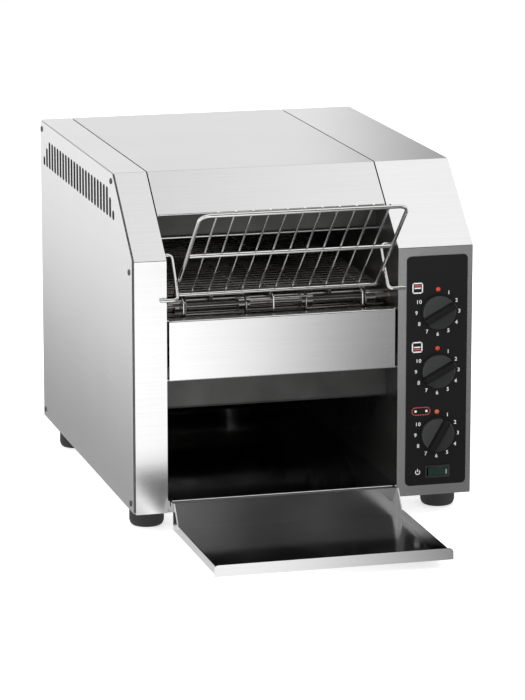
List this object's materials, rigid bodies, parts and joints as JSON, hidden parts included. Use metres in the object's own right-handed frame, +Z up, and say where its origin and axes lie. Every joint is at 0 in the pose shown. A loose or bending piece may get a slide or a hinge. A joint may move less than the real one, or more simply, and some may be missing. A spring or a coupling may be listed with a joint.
{
  "type": "conveyor toaster",
  "caption": "Counter-top conveyor toaster: bread leans on a hinged wire rack, rides a wire belt between heating rods and slides out to a lift-off tray.",
  "frame": {"origin": "on the bench under the middle of the whole machine with its tray and cable gland", "axes": "+X to the viewer's right, +Y from the controls towards the rear, +Z up"},
  "size_m": [0.3706, 0.667, 0.371],
  "materials": {
    "stainless": "fine brushed stainless sheet",
    "polished_steel": "bright polished stainless sheet",
    "dark_steel": "dark heat-stained satin steel",
    "chrome_wire": "bright plated wire",
    "belt_wire": "heat-tinted stainless wire",
    "rod_sheath": "oxidised heating rod sheath",
    "zinc_steel": "zinc plated",
    "bronze": "sintered bronze",
    "motor_paint": "grey painted",
    "foot_rubber": "matt black",
    "overlay_black": "satin black printed overlay",
    "knob_black": "fine grained black",
    "moulding_black": "moulded black",
    "lamp_red": "clear red lens",
    "rocker_green": "translucent dark green",
    "terminal_white": "moulded white"
  },
  "bodies": {
    "machine_body": {"base_pan": "stainless", "left_casing": "stainless", "right_casing": "stainless", "left_side_panel": "stainless", "right_side_panel": "stainless", "hood": "stainless", "rear_panel": "stainless", "side_panel_screws": "dark_steel", "feet": "foot_rubber", "foot_screws": "zinc_steel", "left_chamber_wall": "dark_steel", "right_chamber_wall": "dark_steel", "toast_chute": "polished_steel", "middle_front_panel": "stainless", "lower_heat_shield": "dark_steel", "inlet_baffle": "dark_steel", "inlet_guard_rod": "chrome_wire", "upper_reflector": "polished_steel", "upper_heating_rods": "rod_sheath", "lower_heating_rods": "rod_sheath", "wire_belt": "belt_wire", "shaft_bushes": "bronze", "belt_rails": "zinc_steel", "tie_rods": "zinc_steel", "drive_chain": "dark_steel", "gear_motor": "motor_paint", "motor_bracket": "zinc_steel", "control_overlay": "overlay_black", "energy_regulators": "moulding_black", "speed_controller": "moulding_black", "indicator_lamps": "lamp_red", "power_switch_housing": "moulding_black", "fan_housing": "moulding_black", "cable_gland": "moulding_black", "terminal_block": "terminal_white"},
    "bread_rack": {"rack_frame": "chrome_wire", "rack_bars": "chrome_wire", "rack_arms": "chrome_wire", "rack_legs": "chrome_wire"},
    "catch_tray": {"catch_tray": "polished_steel"},
    "upper_heat_dial": {"upper_heat_knob": "knob_black", "upper_heat_spindle": "zinc_steel"},
    "lower_heat_dial": {"lower_heat_knob": "knob_black", "lower_heat_spindle": "zinc_steel"},
    "belt_speed_dial": {"belt_speed_knob": "knob_black", "belt_speed_spindle": "zinc_steel"},
    "power_rocker": {"power_rocker": "rocker_green"},
    "rear_drive_shaft": {"rear_belt_shaft": "chrome_wire", "drive_sprocket": "zinc_steel"},
    "front_idler_shaft": {"front_belt_shaft": "chrome_wire"},
    "motor_output": {"motor_sprocket": "zinc_steel"},
    "fan_rotor": {"fan_rotor": "moulding_black"}
  },
  "joints": [
    {"name": "rack_swing", "type": "hinge", "parent": "machine_body", "child": "bread_rack", "pos_m": [-0.0238, -0.1125, 0.2936], "axis": [-1, 0, 0], "range_deg": [0, 60]},
    {"name": "tray_lift_off", "type": "slide", "parent": "machine_body", "child": "catch_tray", "axis": [0, 0, 1], "range_m": [0, 0.03]},
    {"name": "upper_heat_turn", "type": "hinge", "parent": "machine_body", "child": "upper_heat_dial", "pos_m": [0.1445, -0.1398, 0.2233], "axis": [0, 1, 0], "range_deg": [-62, 238]},
    {"name": "lower_heat_turn", "type": "hinge", "parent": "machine_body", "child": "lower_heat_dial", "pos_m": [0.1445, -0.1398, 0.1598], "axis": [0, 1, 0], "range_deg": [-62, 238]},
    {"name": "belt_speed_turn", "type": "hinge", "parent": "machine_body", "child": "belt_speed_dial", "pos_m": [0.1445, -0.1398, 0.0911], "axis": [0, 1, 0], "range_deg": [-30, 270]},
    {"name": "rocker_tilt", "type": "hinge", "parent": "machine_body", "child": "power_rocker", "pos_m": [0.1455, -0.1363, 0.0505], "axis": [0, 0, 1], "range_deg": [-10, 0]},
    {"name": "rear_shaft_spin", "type": "hinge", "parent": "machine_body", "child": "rear_drive_shaft", "pos_m": [0, 0.2475, 0.236], "axis": [1, 0, 0], "continuous": true},
    {"name": "front_shaft_spin", "type": "hinge", "parent": "machine_body", "child": "front_idler_shaft", "pos_m": [0, -0.1005, 0.236], "axis": [1, 0, 0], "continuous": true},
    {"name": "motor_output_spin", "type": "hinge", "parent": "machine_body", "child": "motor_output", "pos_m": [0.1172, 0.1575, 0.165], "axis": [1, 0, 0], "continuous": true},
    {"name": "fan_spin", "type": "hinge", "parent": "machine_body", "child": "fan_rotor", "pos_m": [0.1415, 0.2983, 0.25], "axis": [0, 1, 0], "continuous": true}
  ],
  "couplings": [
    {"joint": "front_shaft_spin", "follows": "rear_shaft_spin", "ratio": 1},
    {"joint": "motor_output_spin", "follows": "rear_shaft_spin", "ratio": 2}
  ]
}
